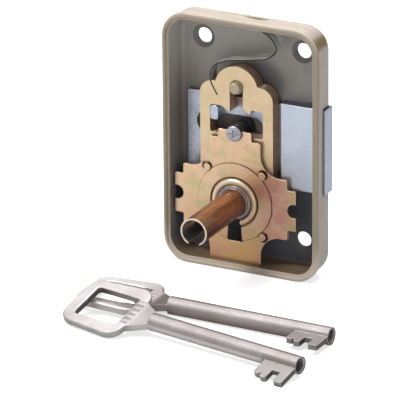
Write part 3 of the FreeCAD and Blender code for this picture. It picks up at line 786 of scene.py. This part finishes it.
def makeTubeCopper():
    material, tree, place, soft = startFinish("tubeCopper", tubeLook)
    lines = linesOn(tree, place["Position"], tubeLook["lineScale"])
    colour = blendColours(tree, lines["Broad"], tubeLook["copper"], tubeLook["bright"])
    browned = spread(tree, lines["Narrow"], *tubeLook["brownRange"])
    colour = blendColours(tree, browned, colour, tubeLook["brown"])
    # painted shade on the tube's lower half, mottled with plum
    plumNoise = noise(tree, place["Position"], *tubeLook["plumNoise"])
    plumPatches = spread(tree, plumNoise, *tubeLook["plumRange"])
    under = blendColours(tree, plumPatches, tubeLook["under"], tubeLook["plum"])
    colour = blendColours(tree, spread(tree, place["Z"], *tubeLook["underRange"]), colour, under)
    # painted light: paler inside the bore
    fromAxis = planeDistance(tree, *offsetsFrom(tree, place, tubeLook["axis"]))
    colour = blendColours(tree, spread(tree, fromAxis, *tubeLook["boreRange"]), colour, tubeLook["bore"])
    atEnd = spread(tree, place["Y"], *tubeLook["cutEndRange"])
    colour = blendColours(tree, atEnd, colour, tubeLook["cutEnd"])
    rough = spread(tree, lines["Narrow"], *tubeLook["roughness"])
    drawn = raised(tree, lines["Narrow"], *tubeLook["bump"], soft["Normal"])
    dressShader(tree, colour, tubeLook["metallic"], rough, drawn)
    return material


# lever springs: blued steel strip, pale on its broad side and dark on its edge, the edge partly painted
# shade

springLook = {
    "blue": (0.34, 0.34, 0.345),
    "grey": (0.68, 0.67, 0.67),
    "greyRange": (0.2, 0.8, 0.2, 1.0),
    "lineScale": (120.0, 2400.0, 120.0),
    "edge": (0.02, 0.02, 0.022),
    "metallic": 0.3,
    "roughness": 0.4,
    "bump": (0.1, 0.00002),
}


def makeSpringBlue():
    material, tree = newMaterial("springBlue")
    place = useGroup(tree, places).outputs
    lines = linesOn(tree, place["Position"], springLook["lineScale"])
    greyed = spread(tree, lines["Broad"], *springLook["greyRange"])
    colour = blendColours(tree, greyed, springLook["blue"], springLook["grey"])
    # the strips' front edges dark: partly the edge's own tone, partly painted shade
    onEdge = difference(tree, 1.0, place["Side wall"])
    colour = blendColours(tree, onEdge, colour, springLook["edge"])
    lined = raised(tree, lines["Narrow"], *springLook["bump"])
    dressShader(tree, colour, springLook["metallic"], springLook["roughness"], lined)
    return material


# keys: satin nickel, tumbled, with painted light and shade on bows, shanks and bits and painted highlights
# on edges; lengths run along each key from its neck

keyLook = {
    "near": {
        "neck": (-0.0085, -0.0764, 0.0), "yaw": -9.86,
        "low": (0.64, 0.585, 0.58), "bow": (1.06, 1.07, 1.08),
    },
    "far": {
        "neck": (-0.0120, -0.0575, 0.0), "yaw": -0.8,
        "low": (0.27, 0.21, 0.205), "bow": (1.42, 1.44, 1.45),
    },
    "nickel": (0.36, 0.33, 0.325),
    "pale": (0.46, 0.43, 0.425),
    "cloudScale": 90.0,
    "warm": (0.38, 0.325, 0.315),
    "warmNoise": (160.0, 3.0),
    "warmRange": (0.5, 0.75, 0.0, 0.6),
    "scratch": (0.28, 0.255, 0.25),
    "scratchRange": (0.65, 1.0, 0.0, 0.4),
    "lineScale": (60.0, 700.0, 700.0),
    "shankFrom": (0.0, 0.003),
    "shankShade": (0.84, 0.82, 0.825),
    "lowFacing": (0.15, -0.15, 0.0, 0.9),
    "limb": (0.13, 0.105, 0.10),
    "limbFront": (0.26, 0.02, 0.0, 0.85),
    "limbBack": (-0.6, -0.4),
    "limbUp": (0.0, 0.3),
    "tip": (0.15, 0.14, 0.16),
    "tipFrom": (0.0690, 0.0692, 0.0, 0.85),
    "bit": (0.25, 0.228, 0.223),
    "bitFrom": (0.0545, 0.0560),
    "bitSide": (-0.0022, -0.0028),
    "bitShare": 0.8,
    "notch": (0.07, 0.058, 0.055),
    "notchUp": (0.6, 0.35, 0.0, 0.9),
    "notchFront": (0.7, 0.5),
    "dark": (0.10, 0.085, 0.085),
    "windowBeside": (0.0084, 0.0083),
    "windowFar": (-0.0223, -0.0222),
    "windowNear": (-0.0023, -0.0024),
    "windowWall": (0.7, 0.4, 0.0, 0.9),
    "windowDepth": (-0.0024, -0.0222, 0.35, 1.0),
    "markPitch": 0.0024,
    "markShift": 8.5,
    "markGap": (0.24, 0.32),
    "markAlong": -0.0014,
    "markReach": (0.0019, 0.0015),
    "markBeside": (0.0062, 0.0058, 0.0, 0.45),
    "edge": (0.64, 0.62, 0.615),
    "edgeShare": 0.65,
    "metallic": 0.72,
    "roughness": (0.3, 0.7, 0.48, 0.62),
    "bump": (0.35, 0.00010),
    "edgeRadius": 0.0005,
}


def paintBow(tree, colour, along, across, upward):
    beside = absolute(tree, across)
    # painted shade on the inner walls of the bow's window
    walled = product(
        tree,
        spread(tree, beside, *keyLook["windowBeside"]),
        spread(tree, along, *keyLook["windowFar"]),
        spread(tree, along, *keyLook["windowNear"]),
        spread(tree, upward, *keyLook["windowWall"]),
        spread(tree, along, *keyLook["windowDepth"]),
    )
    colour = blendColours(tree, walled, colour, keyLook["dark"])
    # painted shade in the gaps between the bars
    turns = sums(tree, "ADD", sums(tree, "DIVIDE", across, keyLook["markPitch"]), keyLook["markShift"])
    fromGap = absolute(tree, difference(tree, sums(tree, "FRACT", turns), 0.5))
    fromMarks = absolute(tree, difference(tree, along, keyLook["markAlong"]))
    marked = product(
        tree,
        spread(tree, fromMarks, *keyLook["markReach"]),
        spread(tree, beside, *keyLook["markBeside"]),
        spread(tree, fromGap, *keyLook["markGap"]),
    )
    return blendColours(tree, marked, colour, keyLook["dark"])


def paintShank(tree, colour, tones, along, upward, frontward):
    onShank = spread(tree, along, *keyLook["shankFrom"])
    shaded = blendColours(tree, 1.0, colour, keyLook["shankShade"], "MULTIPLY")
    # painted light: the bows paler, the flat far bow most
    bowColour = blendColours(tree, 1.0, colour, tones["bow"], "MULTIPLY")
    colour = blendColours(tree, onShank, bowColour, shaded)
    # the shank's underside: painted light on the near key, painted shade on the far key
    lowSide = product(tree, spread(tree, upward, *keyLook["lowFacing"]), onShank)
    colour = blendColours(tree, lowSide, colour, tones["low"])
    # painted shade: a dark line along the shank's upper edge
    limb = product(
        tree,
        spread(tree, frontward, *keyLook["limbFront"]),
        spread(tree, frontward, *keyLook["limbBack"]),
        spread(tree, upward, *keyLook["limbUp"]),
        onShank,
    )
    colour = blendColours(tree, limb, colour, keyLook["limb"])
    # painted shade on the end of the shank
    return blendColours(tree, spread(tree, along, *keyLook["tipFrom"]), colour, keyLook["tip"])


def paintBit(tree, colour, along, across, upward, frontward):
    # painted shade: the bits darker than the shank, darkest on the walls of their notches
    onBit = product(
        tree,
        spread(tree, along, *keyLook["bitFrom"]),
        spread(tree, across, *keyLook["bitSide"]),
        keyLook["bitShare"],
    )
    notchWall = product(
        tree,
        spread(tree, upward, *keyLook["notchUp"]),
        spread(tree, frontward, *keyLook["notchFront"]),
    )
    bitColour = blendColours(tree, notchWall, keyLook["bit"], keyLook["notch"])
    return blendColours(tree, onBit, colour, bitColour)


def makeKeyNickel(name, tones):
    material, tree, place, soft = startFinish(name, keyLook)
    clouds = cloudsOn(tree, place["Position"], keyLook["cloudScale"])
    alongKey = tree.nodes.new("ShaderNodeMapping")
    alongKey.vector_type = "TEXTURE"
    alongKey.inputs["Location"].default_value = tones["neck"]
    alongKey.inputs["Rotation"].default_value = (0, 0, math.radians(tones["yaw"]))
    tree.links.new(place["Position"], alongKey.inputs["Vector"])
    lines = linesOn(tree, alongKey.outputs["Vector"], keyLook["lineScale"])
    keyParts = tree.nodes.new("ShaderNodeSeparateXYZ")
    tree.links.new(alongKey.outputs["Vector"], keyParts.inputs[0])
    along = keyParts.outputs["X"]
    across = keyParts.outputs["Y"]
    upward = place["Facing up"]
    frontward = place["Facing front"]
    colour = blendColours(tree, clouds["Clouds"], keyLook["nickel"], keyLook["pale"])
    warmth = noise(tree, place["Position"], *keyLook["warmNoise"])
    colour = blendColours(tree, spread(tree, warmth, *keyLook["warmRange"]), colour, keyLook["warm"])
    scratched = spread(tree, lines["Narrow"], *keyLook["scratchRange"])
    colour = blendColours(tree, scratched, colour, keyLook["scratch"])
    colour = paintShank(tree, colour, tones, along, upward, frontward)
    colour = paintBit(tree, colour, along, across, upward, frontward)
    colour = paintBow(tree, colour, along, across, upward)
    # painted highlight along the rounded edges
    colour = blendColours(tree, product(tree, soft["Edge"], keyLook["edgeShare"]), colour, keyLook["edge"])
    rough = spread(tree, clouds["Grain"], *keyLook["roughness"])
    pits = raised(tree, clouds["Grain"], *keyLook["bump"], soft["Normal"])
    dressShader(tree, colour, keyLook["metallic"], rough, pits)
    return material


print("rim lock: finishes")
caseEnamel = makeCaseEnamel()
leverBrass = makeLeverBrass()
plateGold = makePlateGold()
boltZinc = makeZinc("boltZinc", zincLook["bolt"], topShade=0.85, inWall=0.7)
postSteel = makeZinc("postSteel", zincLook["steel"], sideShade=0.85)
ringSteel = makeZinc("ringSteel", zincLook["ring"])
blackSteel = makeZinc("blackSteel", zincLook["black"])
studBrass = makeStudBrass()
tubeCopper = makeTubeCopper()
springBlue = makeSpringBlue()
farNickel = makeKeyNickel("farNickel", keyLook["far"])
nearNickel = makeKeyNickel("nearNickel", keyLook["near"])

leverCount = 5
finishes = {
    "case": caseEnamel, "pillar": blackSteel, "guide_stud": studBrass, "key_pin": postSteel,
    "keyhole_plate": plateGold, "hub_collar": plateGold, "hub_stakes": plateGold, "plate_screw": postSteel,
    "bolt_tail": boltZinc, "bolt_head": boltZinc, "bolt_rivets": boltZinc, "bolt_stump": boltZinc,
    "key_tube": tubeCopper, "tube_ring": ringSteel, "tube_spring": ringSteel,
    "far_key": farNickel, "near_key": nearNickel,
}
for number in range(1, leverCount + 1):
    finishes["lever_%d" % number] = leverBrass
    finishes["lever_spring_%d" % number] = springBlue
for nodeName, finish in finishes.items():
    for nodeSlot in nodes[nodeName].material_slots:
        nodeSlot.material = finish

# lever springs: flat strips from a slit in each lever, over its dome, to the case's top wall

stripShape = {
    "run": (
        (-10.8, 16.8), (-12.35, 19.4), (-13.6, 23.0), (-12.6, 26.9), (-8.2, 29.6), (-2.0, 30.9),
        (3.8, 31.9), (9.0, 33.5), (11.6, 36.6), (10.4, 39.9), (4.9, 44.1),
    ),
    "curveSteps": 10,
    "fixedFrom": 26.0,
    "fan": 0.34,
    "fanRise": 0.4,
    "thick": 0.5,
    "wide": 0.8,
    "firstMiddle": -8.24,
    "pitch": 1.0,
    "bendsFrom": 0.029,
    "bendsTo": 0.0442,
    "rounding": 0.06,
    "roundingSteps": 2,
    "smoothAngle": 40,
}


def makeLeverStrip(number):
    deselectAll()
    bpy.ops.curve.primitive_bezier_curve_add(location=(0, 0, 0))
    strip = bpy.context.object
    strip.name = "leverStrip%d" % number
    strip.data.dimensions = "2D"
    strip.data.fill_mode = "NONE"
    strip.data.resolution_u = stripShape["curveSteps"]
    strip.data.extrude = stripShape["wide"] / 2 / perMetre
    points = strip.data.splines[0].bezier_points
    points.add(len(stripShape["run"]) - len(points))
    room = stripShape["run"][-1][1] - stripShape["fixedFrom"]
    fromMiddle = (leverCount + 1) // 2 - number
    for point, (x, z) in zip(points, stripShape["run"]):
        share = max(0.0, (z - stripShape["fixedFrom"]) / room)
        shift = math.sin(math.pi * share) * stripShape["fan"] * fromMiddle
        point.co = millimetres(x + shift, z + stripShape["fanRise"] * shift, 0)
        point.handle_left_type = "AUTO"
        point.handle_right_type = "AUTO"
    middle = stripShape["firstMiddle"] + (number - 1) * stripShape["pitch"]
    strip.rotation_euler = (math.radians(90), 0, 0)
    strip.location = millimetres(0, middle, 0)
    bpy.ops.object.convert(target="MESH")
    wall = strip.modifiers.new("thickness", "SOLIDIFY")
    wall.thickness = stripShape["thick"] / perMetre
    wall.offset = 0
    rounding = strip.modifiers.new("edges", "BEVEL")
    rounding.width = stripShape["rounding"] / perMetre
    rounding.segments = stripShape["roundingSteps"]
    rounding.limit_method = "ANGLE"
    applyModifiers(strip)
    settlePiece(strip)
    smoothAndFinish(strip, stripShape["smoothAngle"], springBlue)
    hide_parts("lever_spring_%d" % number)
    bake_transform(strip)


print("rim lock: lever springs")
for number in range(1, leverCount + 1):
    makeLeverStrip(number)

# rings round the key tube: open turns of round wire that widen towards the pocket, each (radius, depth)

coilShape = {
    "hub": (-3.4, -21.8),
    "wire": 0.25,
    "wireSides": 12,
    "gapHalfAngle": 24,
    "steps": 72,
    "ringTurns": ((5.40, -11.8), (5.90, -11.3)),
    "springTurns": ((6.03, -10.75), (6.03, -10.0), (6.03, -9.2), (6.03, -8.4), (6.03, -7.8)),
    "smoothAngle": 50,
}


def makeTurn(radius, depth):
    deselectAll()
    bpy.ops.mesh.primitive_circle_add(vertices=coilShape["wireSides"], radius=coilShape["wire"] / perMetre,
                                      fill_type="NGON", location=(0, 0, 0))
    turn = bpy.context.object
    bpy.ops.object.mode_set(mode="EDIT")
    bpy.ops.transform.translate(value=(radius / perMetre, 0, 0))
    sweep = math.radians(360 - 2 * coilShape["gapHalfAngle"])
    bpy.ops.mesh.spin(steps=coilShape["steps"], angle=sweep, center=(0, 0, 0), axis=(0, 1, 0))
    bpy.ops.mesh.select_all(action="SELECT")
    bpy.ops.mesh.normals_make_consistent(inside=False)
    bpy.ops.object.mode_set(mode="OBJECT")
    turn.rotation_euler = (0, math.radians(90 + coilShape["gapHalfAngle"]), 0)
    turn.location = millimetres(coilShape["hub"][0], depth, coilShape["hub"][1])
    return settlePiece(turn)


def makeTurns(name, turns):
    coil = joinPieces([makeTurn(radius, depth) for radius, depth in turns], name)
    smoothAndFinish(coil, coilShape["smoothAngle"], ringSteel)
    return coil


print("rim lock: rings and spring of the key tube")
tubeTurns = makeTurns("tubeRingTurns", coilShape["ringTurns"])
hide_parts("tube_ring")
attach(tubeTurns, "key_guide")
springTurns = makeTurns("tubeSpringTurns", coilShape["springTurns"])
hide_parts("tube_spring")
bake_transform(springTurns)

# plain raised bars on the near key's bow

barShape = {
    "neck": (-8.5, -76.4, -41.78),
    "yaw": -9.86,
    "pitch": 0.70,
    "roll": 17.15,
    "across": (-4.8, -2.4, 0.0, 2.4, 4.8),
    "along": -1.4,
    "size": (2.2, 1.2, 0.36),
    "topHeight": 1.3,
    "rounding": 0.12,
    "roundingSteps": 3,
    "smoothAngle": 40,
}


def makeBowBars():
    bars = []
    for across in barShape["across"]:
        deselectAll()
        bpy.ops.mesh.primitive_cube_add(size=1 / perMetre, location=(0, 0, 0))
        bar = bpy.context.object
        bar.scale = barShape["size"]
        bar.location = millimetres(barShape["along"], across, barShape["topHeight"])
        bars.append(settlePiece(bar))
    joined = joinPieces(bars, "bowBars")
    rounding = joined.modifiers.new("edges", "BEVEL")
    rounding.width = barShape["rounding"] / perMetre
    rounding.segments = barShape["roundingSteps"]
    applyModifiers(joined)
    turn = Matrix.Rotation(math.radians(barShape["yaw"]), 4, "Z")
    turn = turn @ Matrix.Rotation(math.radians(barShape["pitch"]), 4, "Y")
    turn = turn @ Matrix.Rotation(math.radians(barShape["roll"]), 4, "X")
    joined.rotation_euler = turn.to_euler()
    joined.location = millimetres(*barShape["neck"])
    settlePiece(joined)
    smoothAndFinish(joined, barShape["smoothAngle"], nearNickel)
    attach(joined, "near_key_body")


print("rim lock: raised bars on the bow")
makeBowBars()

# floor, lamps and world

studio = {
    "floorZ": -0.047,
    "floorSize": 4.0,
    "floorColour": (0.55, 0.55, 0.55),
    "floorGrey": (0.50, 0.50, 0.50),
    "floorNoise": (900.0, 2.0),
    "floorGrain": (0.3, 0.7, 0.0, 0.03),
    "floorRoughness": 0.9,
    "floorGlow": 0.68,
    "worldLight": 0.38,
    "mirrorHeight": (-0.1, 0.8, 0.55, 0.95),
    "mirrorAcross": (-0.5, 0.7, 1.0, 0.40),
    "keyLamp": {"place": (-0.45, -0.50, 0.95), "size": 0.32, "power": 7.6},
    "sideLamp": {"place": (0.80, -0.55, 0.30), "size": 0.6, "power": 1.0},
    "topLamp": {"place": (0.05, 0.30, 0.95), "size": 0.6, "power": 12.0},
    "aim": (0.0, -0.03, 0.0),
}


def addFloor():
    deselectAll()
    bpy.ops.mesh.primitive_plane_add(size=studio["floorSize"], location=(0, 0, studio["floorZ"]))
    floor = settlePiece(bpy.context.object)
    floor.name = "studioFloor"
    material, tree = newMaterial("floorPaper")
    coordinates = tree.nodes.new("ShaderNodeTexCoord")
    grain = noise(tree, coordinates.outputs["Object"], *studio["floorNoise"])
    grain = spread(tree, grain, *studio["floorGrain"])
    colour = blendColours(tree, grain, studio["floorColour"], studio["floorGrey"])
    shader = dressShader(tree, colour, 0.0, studio["floorRoughness"])
    shader.inputs["Specular IOR Level"].default_value = 0.0
    shader.inputs["Emission Color"].default_value = (1, 1, 1, 1)
    rays = tree.nodes.new("ShaderNodeLightPath")
    glow = product(tree, rays.outputs["Is Camera Ray"], studio["floorGlow"])
    tree.links.new(glow, shader.inputs["Emission Strength"])
    floor.data.materials.append(material)


def addLamp(name):
    lamp = studio[name]
    deselectAll()
    bpy.ops.object.light_add(type="AREA", location=lamp["place"])
    light = bpy.context.object
    light.name = name
    light.data.size = lamp["size"]
    light.data.energy = lamp["power"]
    direction = Vector(studio["aim"]) - Vector(lamp["place"])
    light.rotation_euler = direction.to_track_quat("-Z", "Y").to_euler()


def lightWorld():
    world = bpy.data.worlds.new("paleStudio")
    bpy.context.scene.world = world
    world.use_nodes = True
    tree = world.node_tree
    background = tree.nodes["Background"]
    rays = tree.nodes.new("ShaderNodeLightPath").outputs
    coordinates = tree.nodes.new("ShaderNodeTexCoord")
    parts = tree.nodes.new("ShaderNodeSeparateXYZ")
    tree.links.new(coordinates.outputs["Generated"], parts.inputs[0])
    height = spread(tree, parts.outputs["Z"], *studio["mirrorHeight"])
    leftness = spread(tree, parts.outputs["X"], *studio["mirrorAcross"])
    mirrored = product(tree, rays["Is Glossy Ray"], height, leftness)
    direct = larger(tree, rays["Is Camera Ray"], rays["Is Transmission Ray"])
    strength = larger(tree, larger(tree, mirrored, direct), studio["worldLight"])
    background.inputs["Color"].default_value = (1, 1, 1, 1)
    tree.links.new(strength, background.inputs["Strength"])


# camera: from the front right, a little above, with a long lens

view = {
    "place": (0.71395, -1.45081, 0.61061),
    "turn": (68.5693, 0.4468, 26.7346),
    "lens": 440.22,
    "sensorWidth": 36,
    "clip": (0.05, 20),
}


def addCamera():
    deselectAll()
    bpy.ops.object.camera_add(location=view["place"])
    camera = bpy.context.object
    camera.name = "photoCamera"
    camera.rotation_euler = tuple(math.radians(angle) for angle in view["turn"])
    camera.data.lens = view["lens"]
    camera.data.sensor_width = view["sensorWidth"]
    camera.data.clip_start, camera.data.clip_end = view["clip"]
    bpy.context.scene.camera = camera


print("rim lock: floor, light and camera")
addFloor()
for lampName in ("keyLamp", "sideLamp", "topLamp"):
    addLamp(lampName)
lightWorld()
addCamera()
bpy.context.scene.view_settings.view_transform = "Standard"

print("rim lock: finished")
